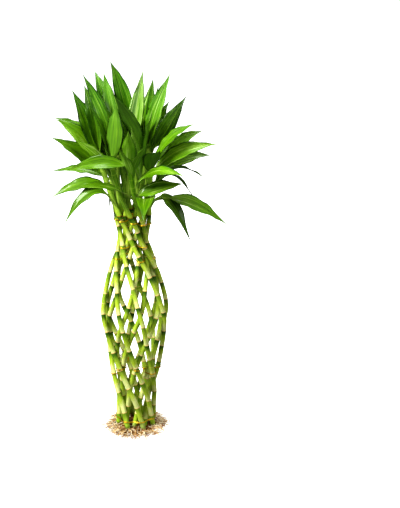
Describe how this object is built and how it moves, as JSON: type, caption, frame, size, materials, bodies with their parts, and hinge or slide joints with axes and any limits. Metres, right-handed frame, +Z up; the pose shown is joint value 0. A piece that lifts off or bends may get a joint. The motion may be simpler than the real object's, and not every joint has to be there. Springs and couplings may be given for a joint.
{
  "type": "lucky bamboo plant",
  "caption": "Lucky bamboo with jointed green canes woven into a vase-shaped lattice, a crown of long glossy leaves, gold wire ties and a flat fibrous root mat it stands on.",
  "frame": {"origin": "middle of the root mat's flat underside, on the ground", "axes": "+Z up along the lattice's middle line; -Y is the front, the side that the picture shows; +X is to the right of it"},
  "size_m": [0.331, 0.298, 0.708],
  "materials": {
    "cane": "smooth living green cane, satin",
    "leaf": "glossy living green leaf and shoot",
    "root": "dry fibrous, matt",
    "wire": "bright gold-coloured wire"
  },
  "bodies": {
    "root": {"outer_cane_1": "cane", "outer_cane_2": "cane", "outer_cane_3": "cane", "outer_cane_4": "cane", "outer_cane_5": "cane", "outer_cane_6": "cane", "outer_cane_7": "cane", "outer_cane_8": "cane", "inner_cane_1": "cane", "inner_cane_2": "cane", "inner_cane_3": "cane", "inner_cane_4": "cane", "inner_cane_5": "cane", "inner_cane_6": "cane", "inner_cane_7": "cane", "inner_cane_8": "cane", "outer_shoot_1": "leaf", "outer_shoot_2": "leaf", "outer_shoot_3": "leaf", "outer_shoot_4": "leaf", "outer_shoot_5": "leaf", "outer_shoot_6": "leaf", "outer_shoot_7": "leaf", "outer_shoot_8": "leaf", "inner_shoot_1": "leaf", "inner_shoot_2": "leaf", "inner_shoot_3": "leaf", "inner_shoot_4": "leaf", "inner_shoot_5": "leaf", "inner_shoot_6": "leaf", "inner_shoot_7": "leaf", "inner_shoot_8": "leaf", "root_mat": "root", "wire_ring_foot": "wire", "wire_loop_low_1": "wire", "wire_loop_low_2": "wire", "wire_loop_low_3": "wire", "wire_loop_low_4": "wire", "wire_loop_low_5": "wire", "wire_loop_low_6": "wire", "wire_loop_low_7": "wire", "wire_loop_low_8": "wire", "wire_loop_waist_1": "wire", "wire_loop_waist_2": "wire", "wire_loop_waist_3": "wire", "wire_loop_waist_4": "wire", "wire_loop_waist_5": "wire", "wire_loop_waist_6": "wire", "wire_loop_waist_7": "wire", "wire_loop_waist_8": "wire", "wire_loop_neck_1": "wire", "wire_loop_neck_2": "wire", "wire_loop_neck_3": "wire", "wire_loop_neck_4": "wire", "wire_loop_neck_5": "wire", "wire_loop_neck_6": "wire", "wire_loop_neck_7": "wire", "wire_loop_neck_8": "wire"}
  },
  "joints": []
}
